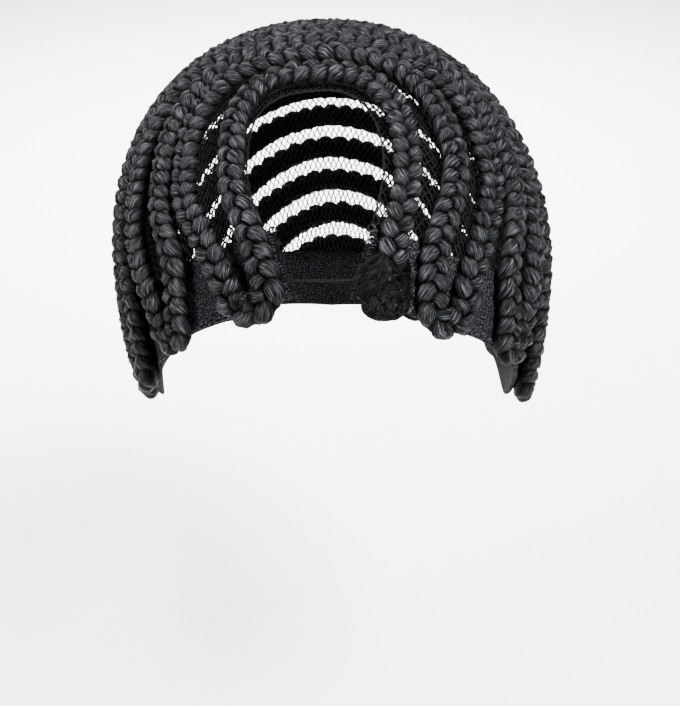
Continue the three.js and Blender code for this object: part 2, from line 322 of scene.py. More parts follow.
def row_line(index):
    """The line of one row, in the direction that the whole plait runs from its tail."""
    line = np.concatenate([row_half(index, "left")[:0:-1], row_half(index, "right")])
    return line if index % 2 else line[::-1]


# Meshes from arrays

Part = namedtuple("Part", "points faces uvs shade")
SKEW = (0.3, 0.5, 0.8)


def tubes(rings, along, around=None, shade=1.0):
    """Closed tubes through rings[tube, ring, corner], mapped by along[tube, ring] and around[corner]."""
    count, length, sides = rings.shape[:3]
    if around is None:
        around = np.linspace(0, 1, sides + 1)
    around = np.broadcast_to(around, (count, sides + 1))
    first = (np.arange(count) * length * sides)[:, None, None]
    ring = (np.arange(length) * sides)[None, :, None]
    j = np.arange(sides)
    a = first + ring[:, :-1] + j
    b = first + ring[:, :-1] + (j + 1) % sides
    quads = np.stack([a, b, b + sides, a + sides], axis=-1).reshape(-1, 4)
    u0, u1 = (np.broadcast_to(u[..., None], a.shape) for u in (along[:, :-1], along[:, 1:]))
    v0, v1 = (np.broadcast_to(v[:, None], a.shape) for v in (around[:, :-1], around[:, 1:]))
    quad_uvs = np.stack([u0, v0, u0, v1, u1, v1, u1, v0], axis=-1).reshape(-1, 2)
    starts = first[:, 0] + j[::-1]
    ends = first[:, 0] + (length - 1) * sides + j
    caps = np.concatenate([starts, ends])
    start_uvs = np.broadcast_arrays(along[:, :1], around[:, :-1][:, ::-1])
    end_uvs = np.broadcast_arrays(along[:, -1:], around[:, :-1])
    cap_uvs = np.concatenate([np.stack(uvs, axis=-1).reshape(-1, 2) for uvs in (start_uvs, end_uvs)])
    shades = np.broadcast_to(shade, rings.shape[:3]).reshape(-1)
    return Part(rings.reshape(-1, 3), [quads, caps], [quad_uvs, cap_uvs], shades)


def joined(parts):
    faces, uvs, offset = [], [], 0
    for part in parts:
        faces += [block + offset for block in part.faces]
        uvs += part.uvs
        offset += len(part.points)
    points = np.concatenate([part.points for part in parts])
    shades = np.concatenate([part.shade for part in parts])
    return Part(points, faces, uvs, shades)


def make_mesh(name, part, material):
    """A Blender object from a part in millimetres about the dome's centre, its faces turned outwards."""
    corners = part.points[part.faces[0]]
    volume = np.einsum("ij,ij->", corners[:, 0], np.cross(corners[:, 1], corners[:, 2]))
    volume += np.einsum("ij,ij->", corners[:, 0], np.cross(corners[:, 2], corners[:, -1]))
    turn = 1 if volume > 0 else -1
    loops = np.concatenate([block[:, ::turn].ravel() for block in part.faces])
    uvs = np.concatenate(
        [uv.reshape(*block.shape, 2)[:, ::turn].reshape(-1, 2) for block, uv in zip(part.faces, part.uvs)]
    )
    totals = np.concatenate([np.full(len(block), block.shape[1]) for block in part.faces])
    starts = np.concatenate([[0], np.cumsum(totals)[:-1]])
    mesh = bpy.data.meshes.new(name)
    mesh.vertices.add(len(part.points))
    mesh.vertices.foreach_set("co", ((part.points - [0, 0, CROWN]) * MM).ravel())
    mesh.loops.add(len(loops))
    mesh.loops.foreach_set("vertex_index", loops.astype(np.int32))
    mesh.polygons.add(len(totals))
    mesh.polygons.foreach_set("loop_start", starts.astype(np.int32))
    mesh.polygons.foreach_set("loop_total", totals.astype(np.int32))
    mesh.polygons.foreach_set("use_smooth", np.ones(len(totals), bool))
    layer = mesh.uv_layers.new(name="fibre")
    layer.data.foreach_set("uv", uvs.ravel())
    # The shade attribute carries painted shade and painted light, which the materials multiply into their
    # colour.
    mesh.attributes.new("shade", "FLOAT", "POINT").data.foreach_set("value", part.shade)
    mesh.update(calc_edges=True)
    mesh.validate()
    mesh.materials.append(material)
    piece = bpy.data.objects.new(name, mesh)
    scene.collection.objects.link(piece)
    return piece


def section_rings(centres, across, up, half_across, half_up, sides, relief=1.0):
    """Oval rings about centres[..., 3], starting at the underside."""
    angle = np.linspace(0, 2 * np.pi, sides, endpoint=False) - np.pi / 2
    wide = (half_across[..., None] * np.cos(angle) * relief)[..., None]
    high = (half_up[..., None] * np.sin(angle) * relief)[..., None]
    return centres[..., None, :] + across[..., None, :] * wide + up[..., None, :] * high


def round_tube(centres, radius, sides):
    """A round tube along a free line, its rings turned as little as they can be."""
    forward = unit(np.gradient(centres, axis=0))
    across = np.empty_like(centres)
    across[0] = unit(np.cross(forward[0], SKEW))
    for i in range(1, len(centres)):
        across[i] = flattened(across[i - 1], forward[i])
    up = np.cross(forward, across)
    radii = np.broadcast_to(radius, len(centres))
    rings = section_rings(centres, across, up, radii, radii, sides)
    return tubes(rings[None], lengths(centres)[None])


# Materials

def node(tree, kind, **inputs):
    made = tree.nodes.new(kind)
    for name, value in inputs.items():
        made.inputs[name.replace("_", " ")].default_value = value
    return made


def new_material(name, colour, roughness, specular=0.5):
    material = bpy.data.materials.new(name)
    material.use_nodes = True
    shader = material.node_tree.nodes["Principled BSDF"]
    shader.inputs["Base Color"].default_value = (*colour, 1)
    shader.inputs["Roughness"].default_value = roughness
    shader.inputs["Specular IOR Level"].default_value = specular
    return material, material.node_tree, shader


def fibre_map(tree, **settings):
    """The mesh's own map along and around its fibres, scaled and turned by the settings."""
    coords = node(tree, "ShaderNodeUVMap")
    coords.uv_map = "fibre"
    mapping = node(tree, "ShaderNodeMapping", **settings)
    tree.links.new(coords.outputs["UV"], mapping.inputs["Vector"])
    return mapping.outputs["Vector"]


def fibre_noise(tree, along, around, detail=2.0):
    """Noise on the fibre map, scaled apart along and around the fibres."""
    noise = node(tree, "ShaderNodeTexNoise", Scale=1.0, Detail=detail, Roughness=0.6)
    tree.links.new(fibre_map(tree, Scale=(along, around, 1.0)), noise.inputs["Vector"])
    return noise.outputs["Fac"]


def grey(tone):
    return tone, tone, tone, 1


def ramp(tree, factor, stops):
    made = node(tree, "ShaderNodeValToRGB")
    made.color_ramp.elements[0].position, made.color_ramp.elements[0].color = stops[0]
    made.color_ramp.elements[1].position, made.color_ramp.elements[1].color = stops[-1]
    for position, colour in stops[1:-1]:
        made.color_ramp.elements.new(position).color = colour
    tree.links.new(factor, made.inputs["Fac"])
    return made.outputs["Color"]


def bump(tree, shader, height, strength, depth, below=None):
    made = node(tree, "ShaderNodeBump", Strength=strength, Distance=depth * MM)
    tree.links.new(height, made.inputs["Height"])
    if below is not None:
        tree.links.new(below, made.inputs["Normal"])
    tree.links.new(made.outputs["Normal"], shader.inputs["Normal"])
    return made.outputs["Normal"]


def shaded_colour(tree, shader, colour):
    """Gives the shader a colour scaled by the mesh's shade attribute, which holds painted shade in the
    plait's creases, at its foot and under the tail's locks, painted light and shade on the hem's ribs, and
    a random tone for each lock.
    """
    shade = node(tree, "ShaderNodeAttribute")
    shade.attribute_name = "shade"
    shaded = node(tree, "ShaderNodeVectorMath")
    shaded.operation = "SCALE"
    tree.links.new(colour, shaded.inputs[0])
    tree.links.new(shade.outputs["Fac"], shaded.inputs["Scale"])
    tree.links.new(shaded.outputs["Vector"], shader.inputs["Base Color"])


def hair_material(name, share):
    """Fine streaks of cool black fibre, its colours a share of the plait's."""
    material, tree, shader = new_material(name, (0.006, 0.0063, 0.007), roughness=0.5, specular=0.02)
    fine = fibre_noise(tree, along=0.4, around=68.0)
    locks = fibre_noise(tree, along=0.1, around=9.0)
    cool = np.array([1.0, 1.04, 1.14])
    dark, mid, pale = [(*(share * tone * cool), 1) for tone in (0.0012, 0.0055, 0.068)]
    shaded_colour(tree, shader, ramp(tree, fine, [(0.43, dark), (0.52, mid), (0.69, pale)]))
    shine = ramp(tree, locks, [(0.3, grey(0.36)), (0.7, grey(0.6))])
    tree.links.new(shine, shader.inputs["Roughness"])
    under = bump(tree, shader, locks, strength=0.5, depth=0.5)
    bump(tree, shader, fine, strength=1.0, depth=0.45, below=under)
    return material


def net_material():
    colour = (0.004, 0.004, 0.0045)
    material, tree, shader = new_material("net_thread", colour, roughness=0.7, specular=0.05)
    twist = fibre_noise(tree, along=3.0, around=4.0)
    dark, pale = (0.001, 0.001, 0.0011, 1), (0.005, 0.005, 0.0055, 1)
    tree.links.new(ramp(tree, twist, [(0.35, dark), (0.7, pale)]), shader.inputs["Base Color"])
    bump(tree, shader, twist, strength=0.6, depth=0.15)
    return material


def knit_material():
    material, tree, shader = new_material("band_knit", (0.006, 0.006, 0.007), roughness=0.8, specular=0.03)
    wales = node(tree, "ShaderNodeTexWave", Scale=1.0, Distortion=1.2, Detail=1.0, Detail_Scale=2.0)
    slanted = fibre_map(tree, Scale=(0.26, 0.08, 1.0), Rotation=(0, 0, 0.5))
    tree.links.new(slanted, wales.inputs["Vector"])
    yarn = fibre_noise(tree, along=1.6, around=1.6, detail=3.0)
    dark, pale = (0.0002, 0.0002, 0.0003, 1), (0.024, 0.024, 0.028, 1)
    shaded_colour(tree, shader, ramp(tree, yarn, [(0.48, dark), (0.62, pale)]))
    under = bump(tree, shader, wales.outputs["Fac"], strength=0.6, depth=0.3)
    bump(tree, shader, yarn, strength=0.5, depth=0.2, below=under)
    return material


def thread_material():
    colour = (0.004, 0.004, 0.004)
    material, tree, shader = new_material("sewing_thread", colour, roughness=0.6, specular=0.05)
    twist = fibre_noise(tree, along=1.5, around=6.0)
    dark, pale = grey(0.001), (0.004, 0.004, 0.0042, 1)
    tree.links.new(ramp(tree, twist, [(0.35, dark), (0.7, pale)]), shader.inputs["Base Color"])
    bump(tree, shader, twist, strength=0.5, depth=0.1)
    return material


def floor_material():
    material, tree, shader = new_material("pale_floor", (0.93, 0.93, 0.93), roughness=0.9)
    coords = node(tree, "ShaderNodeTexCoord")
    cloudy = node(tree, "ShaderNodeTexNoise", Scale=2.0, Detail=2.0)
    tree.links.new(coords.outputs["Object"], cloudy.inputs["Vector"])
    colour = ramp(tree, cloudy.outputs["Fac"], [(0.3, grey(0.92)), (0.7, grey(0.94))])
    tree.links.new(colour, shader.inputs["Base Color"])
    return material


HAIR = hair_material("braid_hair", 1.0)
FELT = hair_material("felted_hair", 0.13)
NET = net_material()
KNIT = knit_material()
COTTON = thread_material()

# How far the maps of the single fibres are shifted about, so that no two have the same streaks.
MAP_SHIFT_AROUND = 9


def finish_piece(piece, slot, *nodes):
    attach(piece, "root")
    if nodes:
        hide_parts(*nodes)


# Plait: three strands that cross over each other on the way outwards

STRANDS = 3
PERIOD = 16.2
STEPS_PER_PERIOD = 17
STRAND_SIDES = 18
STRAND_HALF_WIDTH = 2.0
STRAND_HALF_HEIGHT = 1.6
STRAND_SWING = 2.85
SWING_FLATNESS = 0.05
STRAND_LIFT = 1.85
STRAND_LAG = 0.55
STRAND_SINK = 1.8
STRAND_TILT = 1.1
LEAF_SWELL = 0.34
LEAF_MIDDLE = 0.85
PLAIT_RISE = 6.3
LOOSE_SPAN = 15.0
LOOSE_FIRST = 0.3
LOOSE = 0.16
# How strongly the plait is painted darker, as painted shade, where it lies loose near its turns.
LOOSE_PAINTED_SHADE = 2.2
END_FADE = 6.0
END_THINNEST = 0.5
STRAND_MAP_SHIFT = 3.3
ROW_MAP_SHIFT = 11.7

# Small waves along the plait: size, distance for one radian, and shift in radians. The shift
# of the uneven ones is from strand to strand.
Wave = namedtuple("Wave", "size span shift")
SLOW_WANDER = Wave(0.30, 22, 1.3)
QUICK_WANDER = Wave(0.22, 9.7, 0.4)
UNEVEN_SWING = Wave(0.05, 7.3, 2)
UNEVEN_SWELL = Wave(0.05, 5.1, 1.7)

# Shallow folds round a strand: size, number, shift from strand to strand in radians, and the
# distance along the strand for one radian of turn.
Fold = namedtuple("Fold", "size count shift span")
FOLDS = [Fold(0.05, 6, 2.1, 9), Fold(0.025, 4, 1, -5)]


def wave(form, along, shifts=1):
    return form.size * np.sin(along / form.span + form.shift * shifts)


def strand_phase(along, strand):
    wander = wave(SLOW_WANDER, along) + wave(QUICK_WANDER, along)
    return 2 * np.pi * (along / PERIOD + strand / STRANDS) + wander


def strand_centres(line, along, strand, loose):
    forward = unit(np.gradient(line, axis=0))
    right = unit(np.cross(forward, dome_normal(line)))
    phase = strand_phase(along, strand)
    swing = STRAND_SWING * loose * (1 + wave(UNEVEN_SWING, along, strand))
    offset = (swing * (np.sin(phase) + SWING_FLATNESS * np.sin(3 * phase)))[:, None]
    lift = PLAIT_RISE + STRAND_LIFT * np.sin(2 * phase - STRAND_LAG) - STRAND_SINK * np.sin(phase) ** 2
    centres = dome_point(line + right * offset, lift)
    outward = dome_normal(centres) + right * (STRAND_TILT * np.sin(phase))[:, None]
    return centres, outward


def looseness(index, along):
    """How much wider the plait lies near its turns, most of all at the first one."""
    at_start = {0: 0.0, 1: LOOSE_FIRST}.get(index, LOOSE)
    at_end = LOOSE_FIRST if index == 0 else LOOSE
    from_start = np.exp(-(((along - along[0]) / LOOSE_SPAN) ** 2))
    from_end = np.exp(-(((along[-1] - along) / LOOSE_SPAN) ** 2))
    return 1 + at_start * from_start + at_end * from_end


Strand = namedtuple("Strand", "centres across up half_width half_height")


def strand_form(line, along, strand, fade, loose):
    centres, outward = strand_centres(line, along, strand, loose)
    phase = strand_phase(along, strand)
    forward = unit(np.gradient(centres, axis=0))
    up = flattened(outward, forward)
    across = np.cross(forward, up)
    swell = 1 + LEAF_SWELL * np.cos(2 * (phase - LEAF_MIDDLE)) + wave(UNEVEN_SWELL, along, strand)
    plump = fade * swell
    return Strand(centres, across, up, STRAND_HALF_WIDTH * plump * loose, STRAND_HALF_HEIGHT * plump)


def strand_rings(form, along, strand):
    angle = np.linspace(0, 2 * np.pi, STRAND_SIDES, endpoint=False)
    relief = 1.0
    for fold in FOLDS:
        turn = fold.count * angle + fold.shift * strand + along[:, None] / fold.span
        relief = relief + fold.size * np.sin(turn)
    return section_rings(*form, STRAND_SIDES, relief)


# Creases between the strands and the dark foot of the plait, painted as shade

CREASE_SEARCH = 5
CREASE_EDGE = 1.06
CREASE_REACH = 0.5
FOOT_HEIGHT = 3.2
OPEN_HEIGHT = 8.1
DARKEST_PAINTED_SHADE = 0.01


def strand_distance(points, form):
    """How far points[ring, corner] are from a strand's middle, where its surface is at 1."""
    count = len(form.centres)
    nearest = np.full(points.shape[:2], np.inf)
    for shift in range(-CREASE_SEARCH, CREASE_SEARCH + 1):
        i = (np.arange(count) + shift).clip(0, count - 1)
        away = points - form.centres[i][:, None]
        wide = (away * form.across[i][:, None]).sum(axis=-1) / form.half_width[i][:, None]
        high = (away * form.up[i][:, None]).sum(axis=-1) / form.half_height[i][:, None]
        forward = np.cross(form.up[i], form.across[i])
        ahead = (away * forward[:, None]).sum(axis=-1) / form.half_width[i][:, None]
        nearest = np.minimum(nearest, np.sqrt(wide**2 + high**2 + ahead**2))
    return nearest


def crease_shade(rings, forms, line):
    """Painted shade on rings[strand, ring, corner], from dark in a crease or at the foot to 1 where they
    lie open.
    """
    height = ((rings - line[:, None]) * dome_normal(line)[:, None]).sum(axis=-1)
    clear = ((height - FOOT_HEIGHT) / (OPEN_HEIGHT - FOOT_HEIGHT)).clip(0, 1)
    for strand, other in itertools.permutations(range(STRANDS), 2):
        gap = (strand_distance(rings[strand], forms[other]) - CREASE_EDGE) / CREASE_REACH
        clear[strand] = np.minimum(clear[strand], gap.clip(0, 1))
    return DARKEST_PAINTED_SHADE + (1 - DARKEST_PAINTED_SHADE) * clear * clear * (3 - 2 * clear)


# Core: hidden hair in the middle of a row, which keeps light from showing between its strands, painted with
# the darkest painted shade

CORE_LIFT = 4.1
CORE_HALF_WIDTH = 3.9
CORE_HALF_HEIGHT = 2.1
CORE_SIDES = 8
CORE_STRIDE = 2


def plait_core(line, along, fade):
    centres = dome_point(line, CORE_LIFT)
    forward = unit(np.gradient(centres, axis=0))
    up = dome_normal(line)
    across = unit(np.cross(forward, up))
    rings = section_rings(centres, across, up, CORE_HALF_WIDTH * fade, CORE_HALF_HEIGHT * fade, CORE_SIDES)
    # Painted shade: the core is painted as dark as the deepest creases.
    return tubes(rings[None], along[None], shade=DARKEST_PAINTED_SHADE)


# Loose fibres along the strands: pairs are ranges of even draws, and a reach is counted in rings

FIBRES_PER_MM = 1.6
FIBRE_SIDES = 3
FIBRE_RADIUS = 0.1
FIBRE_THICKNESS = (0.7, 1.3)
FIBRE_TAPER = np.array([0.3, 0.9, 1.0, 0.9, 0.3])
FIBRE_REACH = (2.5, 5.5)
FIBRE_SPREAD = 0.17
FIBRE_DRIFT = 0.05
FIBRE_STRAY = 0.18
FIBRE_STRAY_POWER = 4
FIBRE_CLEARANCE = (0.02, 0.1)
FIBRE_MAP_WIDTH = 0.03
FIBRE_MAP_SHIFT = 90


def on_rings(rings, strand, ring, corner):
    """Points between the corners of rings[strand, ring, corner], at fractional places."""
    i = np.clip(ring.astype(int), 0, rings.shape[1] - 2)
    j = np.floor(corner).astype(int)
    near, far = (corner - j)[..., None], (ring - i)[..., None]
    j, k = j % rings.shape[2], (j + 1) % rings.shape[2]
    here = rings[strand, i, j] * (1 - near) + rings[strand, i, k] * near
    ahead = rings[strand, i + 1, j] * (1 - near) + rings[strand, i + 1, k] * near
    return here * (1 - far) + ahead * far


def loose_fibres(rings, shade, count):
    """Fine fibres lying on rings[strand, ring, corner], their ends standing off a little."""
    each = (count, 1)
    strand = rng.integers(0, len(rings), each)
    t = np.linspace(0, 1, len(FIBRE_TAPER))
    reach = rng.uniform(*FIBRE_REACH, each)
    ring = rng.uniform(0, rings.shape[1] - 1 - reach) + reach * t
    turn = 0.5 + rng.normal(0, FIBRE_SPREAD, each) + rng.normal(0, FIBRE_DRIFT, each) * t
    corner = STRAND_SIDES * turn
    surface = on_rings(rings, strand, ring, corner)
    opposite = on_rings(rings, strand, ring, corner + STRAND_SIDES / 2)
    outward = unit(surface - opposite)
    stray = rng.exponential(FIBRE_STRAY, each) * (2 * t - 1) ** FIBRE_STRAY_POWER
    stray = stray + rng.uniform(*FIBRE_CLEARANCE, each)
    centres = surface + outward * stray[..., None]
    side = unit(np.cross(np.gradient(centres, axis=1), outward))
    radius = FIBRE_RADIUS * rng.uniform(*FIBRE_THICKNESS, each) * FIBRE_TAPER
    along = reach * t + rng.uniform(0, FIBRE_MAP_SHIFT, each)
    around = np.linspace(0, FIBRE_MAP_WIDTH, FIBRE_SIDES + 1) + rng.uniform(0, MAP_SHIFT_AROUND, each)
    fibre_rings = section_rings(centres, side, outward, radius, radius, FIBRE_SIDES)
    # The fibres take the painted crease and foot shade of the strand under them.
    return tubes(fibre_rings, along, around, on_rings(shade[..., None], strand, ring, corner))


def plait_row(index, start):
    """One row's strands, core and fibres, starting at a distance along the whole plait."""
    line = row_line(index)
    total = lengths(line)[-1]
    line = evenly(line, round(total / PERIOD * STEPS_PER_PERIOD))
    along = start + lengths(line)
    fade = np.ones(len(line))
    if index == len(ROWS) - 1:
        fade = np.sqrt(np.clip((along[-1] - along) / END_FADE, END_THINNEST**2, 1))
    loose = looseness(index, along)
    forms = [strand_form(line, along, strand, fade, loose) for strand in range(STRANDS)]
    rings = np.stack([strand_rings(form, along, strand) for strand, form in enumerate(forms)])
    # Painted shade: dark in the creases and at the foot, and darker again where the plait lies loose near
    # its turns.
    shade = crease_shade(rings, forms, line) / loose[:, None] ** LOOSE_PAINTED_SHADE
    around = np.linspace(0, 1, STRAND_SIDES + 1) + STRAND_MAP_SHIFT * np.arange(STRANDS)[:, None]
    around = around + ROW_MAP_SHIFT * index
    strands = tubes(rings, np.broadcast_to(along, (STRANDS, len(along))), around, shade)
    core = plait_core(line[::CORE_STRIDE], along[::CORE_STRIDE], (fade * loose)[::CORE_STRIDE])
    fibres = loose_fibres(rings, shade, round(total * FIBRES_PER_MM))
    return joined([strands, core, fibres]), total


def make_plait():
    start = 0.0
    for index, row in enumerate(ROWS):
        part, total = plait_row(index, start)
        start += total
        piece = make_mesh("plait_row_" + row.name, part, HAIR)
        finish_piece(piece, "hair", "braid_row_" + row.name)


# Tail: a felted pad of the plait's loose ends, with locks laid over it

TAIL_STEP = 0.5
TAIL_CLOSING = 1.5
TAIL_ROUNDING = 2.6
TAIL_TIP = 0.02
TAIL_SHOULDER = 2.4
TAIL_FULLNESS = 0.55
PAD_STATIONS = 44
PAD_SIDES = 40
PAD_OVERRUN = 1.0
PAD_EDGE = 0.97
PAD_TOP = 0.86
PAD_FOOT = 0.02
PAD_MAP_WIDTH = 3
PAD_PAINTED_SHADE = 0.08

# Locks: pairs are ranges of even draws, or the mean and the spread of the drift and the bow.
LOCKS = 190
LOCK_RINGS = 14
LOCK_SIDES = 5
LOCK_START = (0, 16)
LOCK_ACROSS = (-0.95, 0.8)
LOCK_LENGTH = (2, 8)
LOCK_END = 21.0
LOCK_DRIFT = (0.30, 0.5)
LOCK_BOW = (0, 0.35)
LOCK_RADIUS = (0.35, 0.85)
LOCK_FLATNESS = 0.8
LOCK_HEIGHT = 0.9
LOCK_SHADE = (0.1, 2.4)
LOCK_MAP_LENGTH = 8
LOCK_MAP_WIDTH = 0.25
LOCK_MAP_SHIFT = 50
TAPER_START = 0.06
TAPER_SPEED = 1.6
TAPER_TIP = 0.15


def tail_frame(along):
    """Points along the middle of the tail, and the way across it."""
    leg = legs[0]["right"]
    spine = leg[len(cut_at_tail(leg)):]
    middle = points_at(spine, along)
    behind = points_at(spine, np.maximum(along - TAIL_STEP, 0))
    forward = unit(points_at(spine, along + TAIL_STEP) - behind)
    right = unit(np.cross(forward, dome_normal(middle)))
    return middle, right


def tail_size(along):
    """Half width and height of the tail, drawn in to a round end at its last station."""
    past = ((along - TAIL_ALONG[-1] + TAIL_CLOSING) / TAIL_ROUNDING).clip(0)
    close = np.sqrt(np.clip(1 - past**2, TAIL_TIP, 1))
    half_width = np.interp(along, TAIL_ALONG, TAIL_HALF_WIDTH)
    height = np.interp(along, TAIL_ALONG, TAIL_HEIGHT)
    return half_width * close, height * close


def tail_points(along, across, share):
    """Points over the tail: across runs from -1 to 1, share is the part of its full height."""
    middle, right = tail_frame(along)
    half_width, height = tail_size(along)
    bulge = np.clip(1 - np.abs(across) ** TAIL_SHOULDER, 0, 1) ** TAIL_FULLNESS
    return dome_point(middle + right * (half_width * across)[:, None], WALL + GAP + height * bulge * share)


def tail_pad():
    along = np.linspace(0, TAIL_ALONG[-1] + PAD_OVERRUN, PAD_STATIONS)
    angle = np.linspace(0, 2 * np.pi, PAD_SIDES, endpoint=False) - np.pi / 2
    across = PAD_EDGE * np.cos(angle)
    share = np.where(np.sin(angle) > 0, PAD_TOP, PAD_FOOT)
    rings = np.stack([tail_points(along, np.full_like(along, c), s) for c, s in zip(across, share)], axis=1)
    # Painted shade: the pad under the locks is painted dark, as the shade between them.
    return tubes(rings[None], along[None], np.linspace(0, PAD_MAP_WIDTH, PAD_SIDES + 1), PAD_PAINTED_SHADE)


def lock_line(start, end, bow):
    """A lock's line over the tail between two places (distance along, share across)."""
    t = np.linspace(0, 1, LOCK_RINGS)
    along = start[0] + (end[0] - start[0]) * t
    across = start[1] + (end[1] - start[1]) * t + bow * np.sin(np.pi * t)
    return tail_points(along, across.clip(-PAD_EDGE, PAD_EDGE), LOCK_HEIGHT)


def lock_rings(centres, radius):
    """Flattened rings that thin out towards both ends of a lock's line."""
    forward = unit(np.gradient(centres, axis=0))
    up = flattened(dome_normal(centres), forward)
    half_turn = np.linspace(TAPER_START, np.pi - TAPER_START, len(centres))
    half_width = radius * np.clip(np.sin(half_turn) * TAPER_SPEED, TAPER_TIP, 1)
    half_height = half_width * LOCK_FLATNESS
    return section_rings(centres, np.cross(forward, up), up, half_width, half_height, LOCK_SIDES)


def drawn_lock():
    start = rng.uniform(*LOCK_START), rng.uniform(*LOCK_ACROSS)
    end = min(start[0] + rng.uniform(*LOCK_LENGTH), LOCK_END), start[1] + rng.normal(*LOCK_DRIFT)
    line = lock_line(start, end, rng.normal(*LOCK_BOW))
    return lock_rings(line, rng.uniform(*LOCK_RADIUS))


def tail_locks():
    rings = np.stack([drawn_lock() for _ in range(LOCKS)])
    each = (LOCKS, 1)
    along = np.linspace(0, LOCK_MAP_LENGTH, LOCK_RINGS) + rng.uniform(0, LOCK_MAP_SHIFT, each)
    around = np.linspace(0, LOCK_MAP_WIDTH, LOCK_SIDES + 1) + rng.uniform(0, MAP_SHIFT_AROUND, each)
    return tubes(rings, along, around, rng.uniform(*LOCK_SHADE, (LOCKS, 1, 1)))


def make_tail():
    piece = make_mesh("plait_tail", joined([tail_pad(), tail_locks()]), FELT)
    finish_piece(piece, "hair", "braid_end_pad")


# Band along the hem: knitted, with fine ribs, a rolled hem and overlocked front ends

BAND_STEP = 0.45
UP_SPAN = 8.5
OUTER_POINTS = 30
OUTER_INSET = 0.4
OUTER_LIFT = WALL - 0.15
RIB_PITCH = 1.6
RIB_DEPTH = 0.13
RIB_WAVER = 0.5
RIB_TURN = 5.5
HEM_PITCH = 1.35
HEM_DEPTH = 0.25
HEM_SLANT = 0.4
HEM_PAINTED_LIGHT_AND_SHADE = 2.5
HEM_DARKEST_PAINTED_SHADE = 0.1
EDGE_MAP_WIDTH = 0.9

# The rolled hem, from outside down: height above the hem, lift off the dome, share of the hem's ribs.
ROLL_TOP = 3.2
ROLL_HEIGHT = [2.8, 2.3, 1.7, 1.1, 0.55, 0.15]
ROLL_LIFT = [1.1, 1.5, 1.75, 1.7, 1.4, 0.9]
ROLL_RIBS = [0.3, 1, 1, 1, 1, 0.6]

# The plain inside, from the hem back up to the top edge.
INSIDE_HEIGHT = [0, 0.5, 2.5, 6, 12, 18, BAND_WIDTH - 0.3]
INSIDE_LIFT = [0.45, 0.1, 0, 0, 0, 0, 0.1]


def band_hem():
    front = hem_line[:, 1] < 0
    start = np.argmax(front & (hem_line[:, 0] > TAB_LEFT))
    end = np.argmax(front & (hem_line[:, 0] > TAB_RIGHT))
    return np.concatenate([hem_line[end:], hem_line[:start]])[::-1]


hem_curve = band_hem()
BAND_LENGTH = lengths(hem_curve)[-1]


def band_points(distances, heights, lifts):
    """Points of the band at distances along the hem, for heights and lifts[distance, place]."""
    hem = points_at(hem_curve, distances)
    normal = dome_normal(hem)
    ahead = points_at(hem_curve, np.minimum(distances + UP_SPAN, BAND_LENGTH))
    behind = points_at(hem_curve, np.maximum(distances - UP_SPAN, 0))
    up = unit(np.cross(normal, ahead - behind))
    up = np.where(up[:, 2:] < 0, -up, up)
    from_tab = np.minimum(distances, BAND_LENGTH - distances)
    slant = np.radians(TAB_SLANT) * np.clip(1 - from_tab / TAB_SLANT_SPAN, 0, None)
    slant = np.where(distances < BAND_LENGTH / 2, slant, -slant)[:, None]
    up = up * np.cos(slant) + np.cross(normal, up) * np.sin(slant)
    return dome_point(hem[:, None] + up[:, None] * heights[..., None], lifts)


def band_profile():
    """Heights and lifts around the band's section, and the shares of its ribs and of the hem's ribs."""
    outer = np.linspace(BAND_WIDTH - OUTER_INSET, ROLL_TOP, OUTER_POINTS)
    heights = np.concatenate([outer, ROLL_HEIGHT, INSIDE_HEIGHT, [BAND_WIDTH]])
    lifts = np.concatenate([np.full(OUTER_POINTS, OUTER_LIFT), ROLL_LIFT, INSIDE_LIFT, [WALL / 2]])
    plain = np.zeros(len(INSIDE_HEIGHT) + 1)
    ribs = np.concatenate([np.ones(OUTER_POINTS), np.zeros(len(ROLL_RIBS)), plain])
    rolled = np.concatenate([np.zeros(OUTER_POINTS), ROLL_RIBS, plain])
    return heights, lifts, ribs, rolled


def band_cloth():
    distances = np.linspace(0, BAND_LENGTH, round(BAND_LENGTH / BAND_STEP) + 1)
    heights, lifts, ribs, rolled = band_profile()
    along = distances[:, None]
    waver = RIB_WAVER * np.sin(heights * RIB_TURN)
    outer_ribs = ribs * RIB_DEPTH * np.cos(2 * np.pi * along / RIB_PITCH + waver)
    hem_ribs = rolled * np.cos(2 * np.pi * (along + heights * HEM_SLANT) / HEM_PITCH)
    # Painted light and shade: the hem's raised ribs are painted lighter and its grooves darker.
    shade = (1 + HEM_PAINTED_LIGHT_AND_SHADE * hem_ribs).clip(HEM_DARKEST_PAINTED_SHADE)
    places = np.broadcast_to(heights, (len(distances), len(heights)))
    rings = band_points(distances, places, lifts + (outer_ribs + HEM_DEPTH * hem_ribs))
    around = lengths(np.stack([heights, lifts], axis=1))
    around = np.append(around, around[-1] + EDGE_MAP_WIDTH)
    return tubes(rings[None], along.T, around, shade[None])


# Overlocking: thread wound over the cut front ends of the band, frayed fibres and a curl of thread

STITCH_PITCH = 1.15
STITCH_POINTS = 12
STITCH_SIDES = 6
STITCH_RADIUS = 0.3
STITCH_INSET = 0.3
STITCH_MIDDLE = 0.55
STITCH_REACH = 1.15
STITCH_UNEVEN = 0.1
STITCH_BEAT = 0.37
STITCH_LOWEST = 0.2
EDGE_STEP = 2.0
TAB_STEP = 3.0
FUZZ = 120
FUZZ_POINTS = 5
FUZZ_SIDES = 3
FUZZ_RADIUS = 0.11
FUZZ_LOWEST = 0.5
FUZZ_REACH = (1.2, 3.0)
FUZZ_SPREAD_UP = 0.7
FUZZ_SPREAD_OUT = 0.6
FUZZ_BEND = 0.6
FUZZ_STIFFNESS = 0.3
CURL_POINTS = 40
CURL_RADIUS = 1.3
CURL_TURNS = 1.4
CURL_TIGHTENING = 0.3


